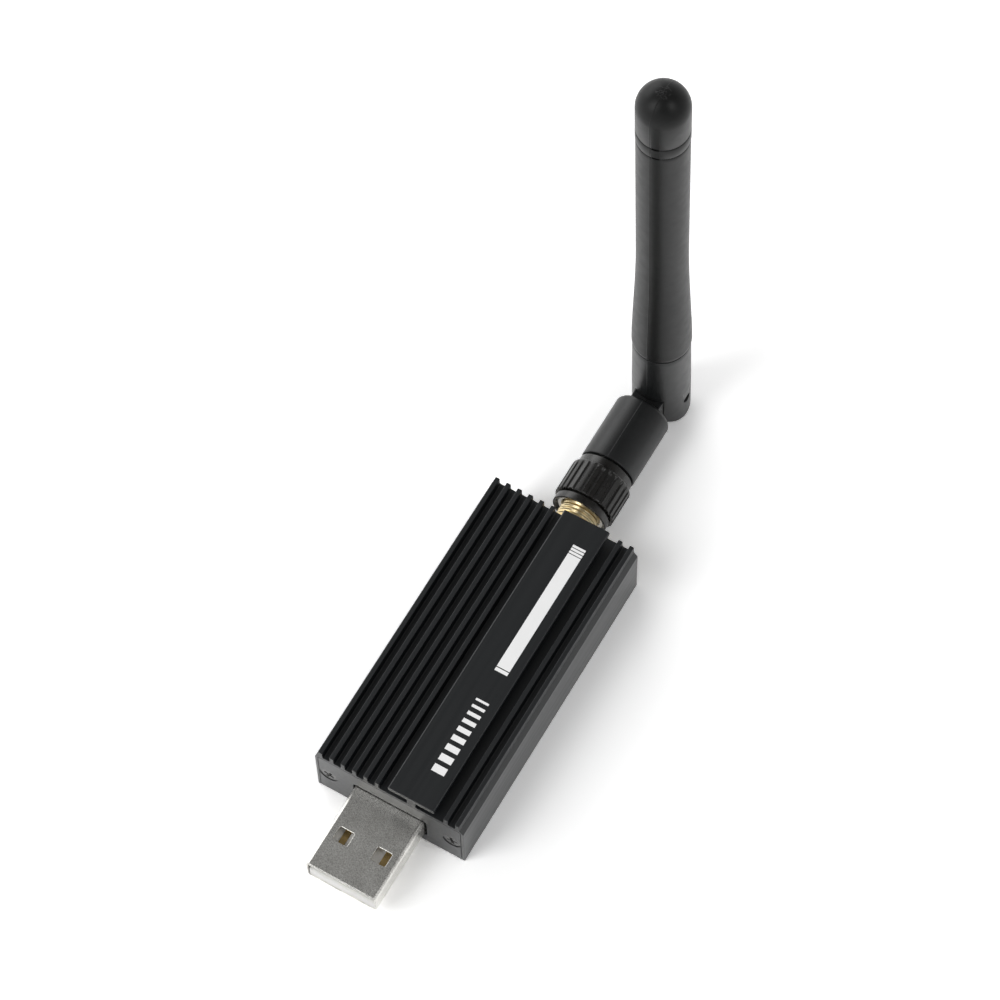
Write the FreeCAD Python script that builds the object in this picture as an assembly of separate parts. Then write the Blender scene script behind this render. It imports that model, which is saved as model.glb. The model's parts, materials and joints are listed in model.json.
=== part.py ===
"""Smart home radio stick: a finned aluminium case with a plug at one end and a tilting antenna at the other.

Frame: origin at the middle of the case's flat bottom, +Z up, +Y from the plug to the antenna.
Sizes are in millimetres.
"""
import FreeCAD, Part
import math
import os

Vector = FreeCAD.Vector
X_AXIS = Vector(1, 0, 0)
Y_AXIS = Vector(0, 1, 0)
Z_AXIS = Vector(0, 0, 1)

# Case: an extruded cover with fins over a tray with two upturned ends
case_width = 25.5
case_length = 52.3
side_wall = 0.5
cover_web = 0.5              # metal left between the channels and the inside
wall_top = 10.1              # where the side wall ends and the shoulder starts
fin_top = 12.5
fin_height = 1.5
fin_width = 0.73
fin_places = 13              # even places across the top, some of them taken by the rail
shoulder_width = 0.67        # from the side of the case in to the outer fin
shoulder_rise = 0.85
channel_corner = 0.3
ceiling_corner = 0.5

# Label rail: a plate on a narrow web, off the middle of the case
rail_place = 8               # the fin place that the web stands on, counted from 0
rail_width = 7.9
rail_top = 13.4
rail_plate = 0.95
rail_web = 1.5
rail_corner = 0.3

# Tray
floor_thickness = 1.2
end_thickness = 1.5
seam_gap = 0.05              # between the tray and the cover
tray_bend = 0.8
tray_edge = 0.2

# Case screws, two at each end, in ports along the side walls
screw_inset = 2.15           # from the side of the case to the screw
screw_height = 5.25
screw_head = 1.5             # radii
screw_shank = 0.8
screw_rim = 0.2              # straight edge of the head
screw_cone = 0.7
screw_length = 6.5
recess_slot = 0.4
recess_span = 1.8
recess_depth = 0.6
port_wall = 0.65
port_spare = 2.0             # hole past the screw's end

# Plug
plug_width = 12.0
plug_height = 4.5
plug_bottom = 2.4
plug_reach = 14.1            # out of the case
plug_inside = 5.2            # behind the case's front face
shell_sheet = 0.3
shell_corner = 0.65
shell_lip = 0.14
shell_seam = 0.08
plug_gap = 0.3               # to the tray's cut-out
window_size = 2.5
window_length = 2.3
window_pitch = 6.5
window_setback = 5.2         # from the plug's mouth
window_corner = 0.25
tongue_thickness = 1.95
tongue_gap = 0.1
tongue_setback = 0.2
tongue_chamfer = 0.25
tongue_length = 9.0          # where the plug's block starts, from its mouth

# Plug contacts: the two outer ones reach further out
contact_width = 1.0
contact_sheet = 0.2
contact_proud = 0.15
outer_contact_pitch = 7.0
inner_contact_pitch = 2.0
outer_contact_setback = 1.1
inner_contact_setback = 2.1
contact_bend = 0.8
contact_foot = 2.0

# Circuit board
board_side_gap = 0.35        # to the screw ports
board_thickness = 1.6
board_front_gap = 0.4
board_notch_gap = 0.1
board_corner = 0.6
post_radius = 1.3
post_inset = 2.3             # from the board's side edge to the post
post_along = 22.0

# Parts on the board: sizes are (across, along, height), places are (across, along) from the case's middle
radio_chip_size = (7.0, 7.0, 0.9)
radio_chip_place = (0.5, 7.0)
bridge_chip_size = (5.0, 5.0, 0.85)
bridge_chip_place = (-1.5, -9.5)
chip_mark = 0.3
chip_edge = 0.08
regulator_size = (1.6, 2.9, 1.1)
regulator_inset = 2.8        # from the board's side edge
regulator_along = -10.5
regulator_leads = ((-0.95, 0.95), (0.0,))
lead_width = 0.45
lead_shoulder = 0.3
lead_toe = 0.4
radio_crystal_size = (3.2, 2.5, 0.8)
clock_crystal_size = (1.5, 3.2, 0.8)
crystal_inset = 2.3          # from the board's side edge
crystal_gap = 0.6            # to the radio chip, along the board
crystal_lid_inset = 0.15
crystal_lid = 0.28
capacitor_size = (0.8, 1.6, 0.8)
capacitor_inset = 2.4        # from the board's side edge
capacitor_pairs = ((-1, -8.75), (1, -0.75), (-1, 7.75))    # side of the board, and place along
capacitor_pitch = 2.5

# Antenna jack on the board's rear edge
jack_x = 0.4                 # axis of the jack and of the antenna, off the middle of the case
jack_height = 5.4            # and above the table
jack_radius = 3.175
jack_reach = 9.6             # out of the case
jack_flange = 6.35
jack_flange_thickness = 1.5
jack_bore = 2.3
jack_leg = 1.0
jack_leg_length = 4.0
jack_leg_pitch = 5.2
jack_hole_gap = 0.15
jack_edge = 0.25
socket_radius = 0.8
socket_depth = 4.0
socket_tail = 0.4
socket_tail_length = 2.5

# Coupling nut: a fluted plastic grip over a threaded brass insert
nut_setback = 3.6            # from the case to the nut's mouth
mouth_ring = 1.25
mouth_radius = 4.65
mouth_chamfer = 0.4
mouth_edge = 0.15
ring_groove = 0.2
ring_groove_depth = 0.35
grip_radius = 5.09
grip_length = 5.75
grip_edge = 0.25
grip_flutes = 26
flute_radius = 0.3
collar_radius = 4.55
collar_length = 1.35
insert_wall = 0.7
insert_lip = 1.0
insert_setback = 0.4         # from the nut's mouth
insert_chamfer = 0.3
grip_back = 0.95             # plastic behind the insert
thread_clearance = 0.07
lip_clearance = 0.08

# Antenna's connector
ferrule_radius = 2.6
ferrule_wall = 0.55
ferrule_flange = 3.1
ferrule_flange_thickness = 0.4
ferrule_grip = 5.6           # length inside the antenna's base
mating_gap = 0.1
pin_radius = 0.46
pin_clearance = 0.04
pin_reach = 2.8              # out of the connector, into the jack

# Antenna base: a plastic barrel that ends in a hinge lug
base_radius = 4.6
base_length = 11.7
base_gap = 0.3               # to the coupling nut
base_near_edge = 0.15
base_far_edge = 0.8
lead_channel = 0.8
hinge_reach = 5.5            # from the barrel's end to the hinge
lug_width = 4.9
lug_radius = 3.0
hinge_side_gap = 0.1
hinge_pin_radius = 0.875
hinge_clearance = 0.05
hinge_pin_depth = 1.4        # how far each pin goes into the lug
hinge_pin_recess = 0.9       # how far each pin lies below the cheek's face

# Whip: a forked foot, and a long sleeve with a neck and a domed tip
whip_tilt = 92.0             # degrees up from the line of the jack
foot_radius = 4.6
foot_top_radius = 4.5        # where the foot meets the sleeve
foot_relief = 0.45           # height of a groove round the foot's top
foot_relief_depth = 0.3
fork_end = 5.3               # radius of the fork's end about the hinge
fork_edge = 0.15
slot_gap = 0.2               # from the lug to the closed end of the slot
sleeve_start = 16.7
sleeve_radius = 4.62
spigot_radius = 3.35
spigot_length = 5.0
spigot_gap = 0.3
neck_start = 16.9
neck_end = 45.2
neck_shoulder = 6.0          # pull of the curve at the neck's wide end
neck_run = 9.7               # and at its slender end
neck_radius = 3.9
tip_radius = 3.95
groove_places = (78.1, 80.6)
groove_width = 0.3
groove_depth = 0.1
dome_centre = 85.95
cavity_radius = 2.7
cavity_end_gap = 1.3         # plastic at the tip beyond the cavity

# Radiator inside the sleeve
core_radius = 0.8
core_start = 6.0
core_end = 75.8
skirt_radius = 2.3
skirt_wall = 0.25
skirt_start = 25.0
skirt_length = 26.0

# Places worked out from the sizes above
front_y = -case_length / 2
rear_y = case_length / 2
channel_floor = fin_top - fin_height
ceiling = channel_floor - cover_web
inner_half = case_width / 2 - side_wall
tray_half = inner_half - seam_gap
fin_span = case_width - 2 * shoulder_width
fin_pitch = (fin_span - fin_width) / (fin_places - 1)
rail_x = -fin_span / 2 + rail_place * fin_pitch + fin_width / 2
screw_x = case_width / 2 - screw_inset
port_radius = screw_shank + port_wall
board_half = screw_x - port_radius - board_side_gap
board_top = jack_height - socket_tail
board_bottom = board_top - board_thickness
mouth_y = front_y - plug_reach
shell_back_y = front_y + plug_inside
flange_y = rear_y - end_thickness
board_rear_y = flange_y - jack_flange_thickness
tongue_top = plug_bottom + shell_sheet + tongue_thickness
jack_tip_y = rear_y + jack_reach
nut_y = rear_y + nut_setback
grip_y = nut_y + mouth_ring + ring_groove
collar_y = grip_y + grip_length
nut_end_y = collar_y + collar_length
insert_y = nut_y + insert_setback
insert_end_y = nut_end_y - grip_back
insert_bore = jack_radius + thread_clearance
insert_radius = insert_bore + insert_wall
connector_y = jack_tip_y + mating_gap
base_y = nut_end_y + base_gap
base_end_y = base_y + base_length
hinge_y = base_end_y + hinge_reach
slot_end = lug_radius + slot_gap
slot_half = lug_width / 2 + hinge_side_gap


def box(x, y, z):
    """A block between pairs of limits along each axis."""
    size = [high - low for low, high in (x, y, z)]
    return Part.makeBox(size[0], size[1], size[2], Vector(x[0], y[0], z[0]))


def rod(radius, start, axis, length):
    return Part.makeCylinder(radius, length, start, axis)


def along_jack(radius, y_start, y_end):
    """A round bar on the jack's axis."""
    return rod(radius, Vector(jack_x, y_start, jack_height), Y_AXIS, y_end - y_start)


def edges_along(shape, axis, test):
    """Straight edges parallel to an axis whose middle passes a test."""
    found = []
    for edge in shape.Edges:
        if len(edge.Vertexes) != 2:
            continue
        run = edge.Vertexes[1].Point - edge.Vertexes[0].Point
        if run.Length > 0 and abs(run.dot(axis)) > 0.999 * run.Length and test(edge.CenterOfMass):
            found.append(edge)
    return found


def turned(outline):
    """A solid turned about the jack's axis from (y, radius) points and curves through them."""
    edges = []
    place = outline[0]
    for step in outline[1:] + [outline[0]]:
        target = step if isinstance(step[0], float) else step[-1]
        if step is target:
            curve = Part.LineSegment(profile_point(place), profile_point(target))
        else:
            curve = Part.BezierCurve()
            curve.setPoles([profile_point(point) for point in [place] + list(step)])
        edges.append(curve.toShape())
        place = target
    face = Part.Face(Part.Wire(edges))
    return face.revolve(Vector(jack_x, 0, jack_height), Y_AXIS, 360)


def profile_point(point):
    return Vector(jack_x, point[0], jack_height + point[1])


def case_screw(x, y_face, outward):
    """A countersunk screw with a cross recess, flush with an end of the case."""
    axis = Vector(0, -outward, 0)
    face = Vector(x, y_face, screw_height)
    rim = rod(screw_head, face, axis, screw_rim)
    cone_start = face + axis * screw_rim
    cone = Part.makeCone(screw_head, screw_shank, screw_cone, cone_start, axis)
    shank_start = cone_start + axis * screw_cone
    shank = rod(screw_shank, shank_start, axis, screw_length - screw_rim - screw_cone)
    screw = rim.fuse(cone).fuse(shank).removeSplitter()
    depth = sorted((y_face, y_face - outward * recess_depth))
    half_span = recess_span / 2
    half_slot = recess_slot / 2
    for wide, tall in ((half_span, half_slot), (half_slot, half_span)):
        slot = box((x - wide, x + wide), depth, (screw_height - tall, screw_height + tall))
        screw = screw.cut(slot)
    return screw


def screw_hole(x, y_face, outward):
    """The countersunk hole that a case screw fills."""
    axis = Vector(0, -outward, 0)
    face = Vector(x, y_face, screw_height)
    rim = rod(screw_head, face, axis, screw_rim)
    cone_start = face + axis * screw_rim
    cone = Part.makeCone(screw_head, screw_shank, screw_cone, cone_start, axis)
    return rim.fuse(cone).fuse(rod(screw_shank, face, axis, end_thickness))


def fin_channels():
    """Channels between the fins and beside the rail's web, with round bottom corners."""
    fin_lefts = [-fin_span / 2 + place * fin_pitch for place in range(fin_places)]
    rail_reach = rail_width / 2 + fin_pitch - fin_width
    walls = []
    for left in fin_lefts:
        if abs(left + fin_width / 2 - rail_x) > rail_reach:
            walls.append((left, left + fin_width))
    walls.append((rail_x - rail_web / 2, rail_x + rail_web / 2))
    walls.sort()
    channels = []
    for left_wall, right_wall in zip(walls, walls[1:]):
        channel = box((left_wall[1], right_wall[0]), (front_y, rear_y), (channel_floor, rail_top))
        corners = edges_along(channel, Y_AXIS, lambda middle: middle.z < fin_top)
        channels.append(channel.makeFillet(channel_corner, corners))
    return channels


def heat_sink_cover():
    """Extrusion: side walls, finned top, label rail and a screw port along each side wall."""
    side = case_width / 2
    outer_fin = fin_span / 2
    section = [(-side, 0), (-side, wall_top), (-outer_fin, wall_top + shoulder_rise), (-outer_fin, fin_top)]
    section += [(-x, z) for x, z in reversed(section)]
    corners = [Vector(x, front_y, z) for x, z in section + section[:1]]
    body = Part.Face(Part.makePolygon(corners)).extrude(Vector(0, case_length, 0))
    body = body.cut(Part.makeCompound(fin_channels()))
    plate = box((rail_x - rail_width / 2, rail_x + rail_width / 2), (front_y, rear_y),
                (rail_top - rail_plate, rail_top))
    plate = plate.makeFillet(rail_corner, edges_along(plate, Y_AXIS, lambda middle: True))
    body = body.fuse(plate)
    inside = box((-inner_half, inner_half), (front_y, rear_y), (0, ceiling))
    inside = inside.makeFillet(ceiling_corner, edges_along(inside, Y_AXIS, lambda middle: middle.z > 1))
    body = body.cut(inside)
    port_start = front_y + end_thickness
    port_length = case_length - 2 * end_thickness
    hole_length = screw_length - end_thickness + port_spare
    for sign in (-1, 1):
        x = sign * screw_x
        port = rod(port_radius, Vector(x, port_start, screw_height), Y_AXIS, port_length)
        tie = box(sorted((x, sign * (inner_half + side_wall / 2))), (port_start, port_start + port_length),
                  (screw_height - port_radius, screw_height + port_radius))
        body = body.fuse(port.fuse(tie).common(box((-side, side), (front_y, rear_y), (0, ceiling))))
        for start in (port_start, port_start + port_length - hole_length):
            body = body.cut(rod(screw_shank, Vector(x, start, screw_height), Y_AXIS, hole_length))
    return body.removeSplitter()


def base_tray():
    """Floor with an upturned plate at each end, cut for the plug, the jack and the screws."""
    top = ceiling - seam_gap
    outside = box((-tray_half, tray_half), (front_y, rear_y), (0, top))
    outside = outside.makeFillet(ceiling_corner - seam_gap, edges_along(outside, Y_AXIS, lambda m: m.z > 1))
    hollow = box((-case_width, case_width), (front_y + end_thickness, rear_y - end_thickness),
                 (floor_thickness, rail_top))
    hollow = hollow.makeFillet(tray_bend, edges_along(hollow, X_AXIS, lambda m: m.z < top))
    tray = outside.cut(hollow)
    for side in (-1, 1):
        for along in (-post_along / 2, post_along / 2):
            foot = Vector(side * (board_half - post_inset), along, floor_thickness / 2)
            tray = tray.fuse(rod(post_radius, foot, Z_AXIS, board_bottom - floor_thickness / 2))
    hole_half = plug_width / 2 + plug_gap
    plug_hole = box((-hole_half, hole_half), (front_y, front_y + end_thickness),
                    (plug_bottom - plug_gap, plug_bottom + plug_height + plug_gap))
    plug_hole = plug_hole.makeFillet(shell_corner, edges_along(plug_hole, Y_AXIS, lambda m: True))
    tray = tray.cut(plug_hole)
    tray = tray.cut(along_jack(jack_radius + jack_hole_gap, rear_y - end_thickness, rear_y))
    for sign in (-1, 1):
        tray = tray.cut(screw_hole(sign * screw_x, front_y, -1))
        tray = tray.cut(screw_hole(sign * screw_x, rear_y, 1))
    return tray.removeSplitter()


def plug_shell():
    """Folded steel shell with four windows, a bevelled mouth and an open seam along its bottom."""
    half = plug_width / 2
    top = plug_bottom + plug_height
    shell = box((-half, half), (mouth_y, shell_back_y), (plug_bottom, top))
    shell = shell.makeFillet(shell_corner, edges_along(shell, Y_AXIS, lambda m: True))
    rim = [edge for edge in shell.Edges if edge.BoundBox.YMax < mouth_y + 0.01]
    shell = shell.makeChamfer(shell_lip, rim)
    inside = box((-half + shell_sheet, half - shell_sheet), (mouth_y, shell_back_y),
                 (plug_bottom + shell_sheet, top - shell_sheet))
    inside = inside.makeFillet(shell_corner - shell_sheet, edges_along(inside, Y_AXIS, lambda m: True))
    shell = shell.cut(inside)
    for x in (-window_pitch / 2, window_pitch / 2):
        window_y = mouth_y + window_setback
        window = box((x - window_size / 2, x + window_size / 2), (window_y, window_y + window_length),
                     (plug_bottom, top))
        window = window.makeFillet(window_corner, edges_along(window, Z_AXIS, lambda m: True))
        shell = shell.cut(window)
    seam = box((-shell_seam / 2, shell_seam / 2), (mouth_y, shell_back_y),
               (plug_bottom, plug_bottom + shell_sheet))
    return shell.cut(seam)


def plug_contact(x, setback):
    """A sheet strip: flat on the tongue, stepped up at the back to its foot on the board."""
    low = tongue_top - contact_sheet + contact_proud
    start = mouth_y + setback
    bend = shell_back_y - contact_bend
    step_end = shell_back_y
    foot_end = shell_back_y + board_notch_gap + contact_foot
    outline = [(start, low), (start, low + contact_sheet), (bend, low + contact_sheet),
               (step_end, board_top + contact_sheet), (foot_end, board_top + contact_sheet),
               (foot_end, board_top), (step_end, board_top), (bend, low)]
    corners = [Vector(x - contact_width / 2, y, z) for y, z in outline + outline[:1]]
    return Part.Face(Part.makePolygon(corners)).extrude(Vector(contact_width, 0, 0))


def plug_insulator(contacts):
    """Tongue under the cavity and the block that closes the shell's back."""
    half = plug_width / 2 - shell_sheet
    floor = plug_bottom + shell_sheet
    block_y = mouth_y + tongue_length
    tongue = box((-half + tongue_gap, half - tongue_gap), (mouth_y + tongue_setback, block_y),
                 (floor, tongue_top))
    front_edges = edges_along(tongue, X_AXIS, lambda m: m.y < block_y - 1 and m.z > floor + 1)
    tongue = tongue.makeChamfer(tongue_chamfer, front_edges)
    block = box((-half, half), (block_y, shell_back_y), (floor, plug_bottom + plug_height - shell_sheet))
    block = block.makeFillet(shell_corner - shell_sheet, edges_along(block, Y_AXIS, lambda m: True))
    return tongue.fuse(block).removeSplitter().cut(Part.makeCompound(contacts))


def circuit_board():
    """Board between the end plates, notched at the front for the plug."""
    front = front_y + end_thickness + board_front_gap
    board = box((-board_half, board_half), (front, board_rear_y), (board_bottom, board_top))
    board = board.makeFillet(board_corner, edges_along(board, Z_AXIS, lambda m: True))
    notch_half = plug_width / 2 + board_notch_gap
    notch = box((-notch_half, notch_half), (front_y, shell_back_y + board_notch_gap),
                (board_bottom, board_top))
    return board.cut(notch)


def on_board(place, size):
    """A block that stands on the board at a place."""
    x, y = place
    width, length, height = size
    return box((x - width / 2, x + width / 2), (y - length / 2, y + length / 2),
               (board_top, board_top + height))


def square_chip(place, size):
    """A flat chip with a round mark by its first corner."""
    top = board_top + size[2]
    chip = on_board(place, size)
    chip = chip.makeChamfer(chip_edge, [edge for edge in chip.Edges if edge.BoundBox.ZMin > top - 0.01])
    mark_x = place[0] - size[0] / 2 + 3 * chip_mark
    mark_y = place[1] - size[1] / 2 + 3 * chip_mark
    mark_depth = size[2] / 8
    return chip.cut(rod(chip_mark, Vector(mark_x, mark_y, top - mark_depth), Z_AXIS, mark_depth))


def leaded_part(place, size, leads):
    """A small moulded part with bent leads on both long sides; leads holds their places along Y."""
    x, y = place
    width, length, height = size
    stand = height / 10
    body = box((x - width / 2, x + width / 2), (y - length / 2, y + length / 2),
               (board_top + stand, board_top + height))
    sheet = height / 8
    for side, lead_places in zip((-1, 1), leads):
        for lead_place in lead_places:
            span = (y + lead_place - lead_width / 2, y + lead_place + lead_width / 2)
            root = x + side * width / 2
            knee = root + side * lead_shoulder
            toe = knee + side * lead_toe
            bend = board_top + height / 2
            drop = box(sorted((knee, knee + side * sheet)), span, (board_top, bend))
            shoulder = box(sorted((root, knee)), span, (bend - sheet, bend))
            foot = box(sorted((knee, toe)), span, (board_top, board_top + sheet))
            body = body.fuse(drop).fuse(shoulder).fuse(foot)
    return body.removeSplitter()


def crystal(side, end, size):
    """A ceramic package with a smaller metal lid, off one corner of the radio chip."""
    width, length, height = size
    from_chip = radio_chip_size[1] / 2 + crystal_gap + length / 2
    place = (side * (board_half - crystal_inset - width / 2), radio_chip_place[1] + end * from_chip)
    package = on_board(place, (width, length, height - crystal_lid))
    lid = on_board(place, (width - 2 * crystal_lid_inset, length - 2 * crystal_lid_inset, height))
    return package.fuse(lid).removeSplitter()


def capacitors():
    """Small blocks in pairs along the board's side edges, as separate solids."""
    across = board_half - capacitor_inset - capacitor_size[0] / 2
    blocks = []
    for side, middle in capacitor_pairs:
        for along in (middle - capacitor_pitch / 2, middle + capacitor_pitch / 2):
            blocks.append(on_board((side * across, along), capacitor_size))
    return blocks


def jack_body():
    """Threaded barrel, square flange against the tray's end, and four legs astride the board."""
    half = jack_flange / 2
    barrel = along_jack(jack_radius, board_rear_y, jack_tip_y)
    tip_edge = [edge for edge in barrel.Edges if edge.BoundBox.YMin > jack_tip_y - 0.01]
    barrel = barrel.makeChamfer(jack_edge, tip_edge)
    flange = box((jack_x - half, jack_x + half), (board_rear_y, flange_y),
                 (jack_height - half, jack_height + half))
    body = barrel.fuse(flange)
    for sign in (-1, 1):
        x = jack_x + sign * jack_leg_pitch / 2
        span = (x - jack_leg / 2, x + jack_leg / 2)
        leg_y = (board_rear_y - jack_leg_length, board_rear_y)
        upper = box(span, leg_y, (board_top, board_top + jack_leg))
        lower = box(span, leg_y, (board_bottom - jack_leg, board_bottom))
        body = body.fuse(upper).fuse(lower)
    return body.cut(along_jack(jack_bore, board_rear_y, jack_tip_y)).removeSplitter()


def jack_contact():
    """Socket for the antenna's pin, with a tail that lies on the board."""
    socket = along_jack(socket_radius, board_rear_y, jack_tip_y)
    tail = along_jack(socket_tail, board_rear_y - socket_tail_length, board_rear_y)
    bore = along_jack(pin_radius + pin_clearance, jack_tip_y - socket_depth, jack_tip_y)
    return socket.fuse(tail).cut(bore).removeSplitter()


def coupling_grip():
    """Plastic grip: plain mouth ring, fluted body and a narrower collar."""
    ring_end = nut_y + mouth_ring
    groove_radius = mouth_radius - ring_groove_depth
    collar_bore = ferrule_radius + 4 * lip_clearance
    outline = [
        (nut_y, mouth_radius - mouth_edge),
        (nut_y + mouth_edge, mouth_radius),
        (ring_end, mouth_radius),
        (ring_end, groove_radius),
        (grip_y, groove_radius),
        (grip_y, grip_radius - grip_edge),
        (grip_y + grip_edge, grip_radius),
        (collar_y - grip_edge, grip_radius),
        (collar_y, grip_radius - grip_edge),
        (collar_y, collar_radius),
        (nut_end_y, collar_radius),
        (nut_end_y, collar_bore),
        (insert_end_y, collar_bore),
        (insert_end_y, insert_radius),
        (insert_y, insert_radius),
        (nut_y, insert_radius + mouth_chamfer),
    ]
    grip = turned(outline)
    flutes = []
    for index in range(grip_flutes):
        angle = 2 * math.pi * index / grip_flutes
        across = jack_x + grip_radius * math.cos(angle)
        height = jack_height + grip_radius * math.sin(angle)
        flutes.append(rod(flute_radius, Vector(across, grip_y, height), Y_AXIS, grip_length))
    return grip.cut(Part.makeCompound(flutes))


def coupling_insert():
    """Threaded brass lining, with a lip behind the connector's flange."""
    lip_y = insert_end_y - insert_lip
    lip_bore = ferrule_radius + lip_clearance
    outline = [
        (insert_y, insert_bore + insert_chamfer),
        (insert_y, insert_radius),
        (insert_end_y, insert_radius),
        (insert_end_y, lip_bore),
        (lip_y, lip_bore),
        (lip_y, insert_bore),
        (insert_y + insert_chamfer, insert_bore),
    ]
    return turned(outline)


def connector_ferrule():
    """Outer contact of the antenna's connector, held by its flange in the nut and its tail in the base."""
    bore = ferrule_radius - ferrule_wall
    flange = along_jack(ferrule_flange, connector_y, connector_y + ferrule_flange_thickness)
    tube = along_jack(ferrule_radius, connector_y, base_y + ferrule_grip)
    return flange.fuse(tube).cut(along_jack(bore, connector_y, base_y + ferrule_grip)).removeSplitter()


def connector_insulator():
    disc = along_jack(ferrule_radius - ferrule_wall, connector_y, base_y + ferrule_grip / 2)
    return disc.cut(along_jack(pin_radius, connector_y, base_y + ferrule_grip / 2))


def connector_pin():
    pin = along_jack(pin_radius, connector_y - pin_reach, base_y + ferrule_grip / 2)
    nose = [edge for edge in pin.Edges if edge.BoundBox.YMax < connector_y - pin_reach + 0.01]
    return pin.makeChamfer(pin_radius / 2, nose)


def antenna_base():
    """Plastic barrel round the connector, with a flat-sided hinge lug at its far end."""
    barrel = along_jack(base_radius, base_y, base_end_y)
    far_edge = [edge for edge in barrel.Edges if edge.BoundBox.YMin > base_end_y - 0.01]
    barrel = barrel.makeFillet(base_far_edge, far_edge)
    near_edge = [edge for edge in barrel.Edges if edge.BoundBox.YMax < base_y + 0.01]
    barrel = barrel.makeChamfer(base_near_edge, near_edge)
    half = lug_width / 2
    neck = box((jack_x - half, jack_x + half), (base_end_y - base_far_edge, hinge_y),
               (jack_height - lug_radius, jack_height + lug_radius))
    eye = rod(lug_radius, Vector(jack_x - half, hinge_y, jack_height), X_AXIS, lug_width)
    base = barrel.fuse(neck).fuse(eye).removeSplitter()
    base = base.cut(along_jack(ferrule_radius, base_y, base_y + ferrule_grip))
    base = base.cut(along_jack(lead_channel, base_y, hinge_y + lug_radius))
    for sign in (-1, 1):
        start = Vector(jack_x + sign * half, hinge_y, jack_height)
        depth = hinge_pin_depth + hinge_clearance
        base = base.cut(rod(hinge_pin_radius + hinge_clearance, start, X_AXIS * -sign, depth))
    return base


def hinge_pins():
    """Two short pins, one in each cheek of the fork."""
    outer = foot_radius - hinge_pin_recess
    inner = lug_width / 2 - hinge_pin_depth
    pins = []
    for sign in (-1, 1):
        start = Vector(jack_x + sign * inner, hinge_y, jack_height)
        pins.append(rod(hinge_pin_radius, start, X_AXIS * sign, outer - inner))
    return pins


def whip_fork():
    """Foot of the whip: two cheeks with a round end, and a spigot that holds the sleeve."""
    top = hinge_y + sleeve_start
    side = Vector(jack_x - foot_radius, hinge_y, jack_height)
    relief = top - foot_relief
    neck = foot_top_radius - foot_relief_depth
    foot = turned([(hinge_y - fork_end, 0.0), (hinge_y - fork_end, foot_radius),
                   (hinge_y + slot_end, foot_radius), (relief, foot_top_radius), (relief, neck),
                   (top, neck), (top, 0.0)])
    round_end = rod(fork_end, side, X_AXIS, 2 * foot_radius)
    straight = box((jack_x - foot_radius, jack_x + foot_radius), (hinge_y, top),
                   (jack_height - foot_radius, jack_height + foot_radius))
    fork = foot.common(round_end.fuse(straight)).removeSplitter()
    rim = [edge for edge in fork.Edges if edge.BoundBox.YMax < hinge_y and edge.Length > fork_end]
    fork = fork.makeFillet(fork_edge, rim)
    fork = fork.fuse(along_jack(spigot_radius, top, top + spigot_length))
    slot = box((jack_x - slot_half, jack_x + slot_half), (hinge_y - fork_end, hinge_y + slot_end),
               (jack_height - foot_radius, jack_height + foot_radius))
    fork = fork.cut(slot)
    fork = fork.cut(rod(hinge_pin_radius, side, X_AXIS, 2 * foot_radius))
    return fork.cut(along_jack(core_radius, hinge_y, top + spigot_length)).removeSplitter()


def whip_sleeve():
    """Moulded sleeve: wide foot, slender neck, two fine grooves and a domed tip."""
    start = hinge_y + sleeve_start
    dome_y = hinge_y + dome_centre
    tip_y = dome_y + tip_radius
    neck = [
        (hinge_y + neck_start + neck_shoulder, sleeve_radius),
        (hinge_y + neck_end - neck_run, neck_radius),
        (hinge_y + neck_end, neck_radius),
    ]
    outline = [(start, 0.0), (start, sleeve_radius), (hinge_y + neck_start, sleeve_radius), neck]
    shoulder_radius = neck_radius
    for place in groove_places:
        low = hinge_y + place - groove_width / 2
        high = low + groove_width
        outline += [(low, shoulder_radius), (low, shoulder_radius - groove_depth)]
        shoulder_radius = tip_radius
        outline += [(high, shoulder_radius - groove_depth), (high, shoulder_radius)]
    outline += [(dome_y, tip_radius), (dome_y, 0.0)]
    outside = turned(outline).fuse(Part.makeSphere(tip_radius, Vector(jack_x, dome_y, jack_height)))
    spigot_end = start + spigot_length + spigot_gap
    cavity_end = tip_y - cavity_end_gap
    taper_start = cavity_end - cavity_radius
    cavity = turned([(start, 0.0), (start, spigot_radius), (spigot_end, spigot_radius),
                     (spigot_end, cavity_radius), (taper_start, cavity_radius), (cavity_end, 0.0)])
    return outside.cut(cavity).removeSplitter()


def radiator_core():
    return along_jack(core_radius, hinge_y + core_start, hinge_y + core_end)


def radiator_skirt():
    """Thin metal skirt, open below and closed on to the core above."""
    start = hinge_y + skirt_start
    end = start + skirt_length
    skirt = along_jack(skirt_radius, start, end)
    hollow = along_jack(skirt_radius - skirt_wall, start, end - skirt_wall)
    return skirt.cut(hollow).cut(along_jack(core_radius, start, end))


def tilted(shape):
    """A piece of the whip, turned up about the hinge from the line of the jack."""
    shape.rotate(Vector(0, hinge_y, jack_height), X_AXIS, whip_tilt)
    return shape


os.makedirs("parts", exist_ok=True)


def write(name, shape):
    if isinstance(shape, list):
        shape = Part.makeCompound(shape)
    shape.exportStep("parts/" + name + ".step")
    print(name, "solids", len(shape.Solids), "valid", shape.isValid(), "volume", round(shape.Volume, 2))


contacts = []
for contact_pitch, contact_setback in ((outer_contact_pitch, outer_contact_setback),
                                       (inner_contact_pitch, inner_contact_setback)):
    for contact_side in (-1, 1):
        contacts.append(plug_contact(contact_side * contact_pitch / 2, contact_setback))

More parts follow.
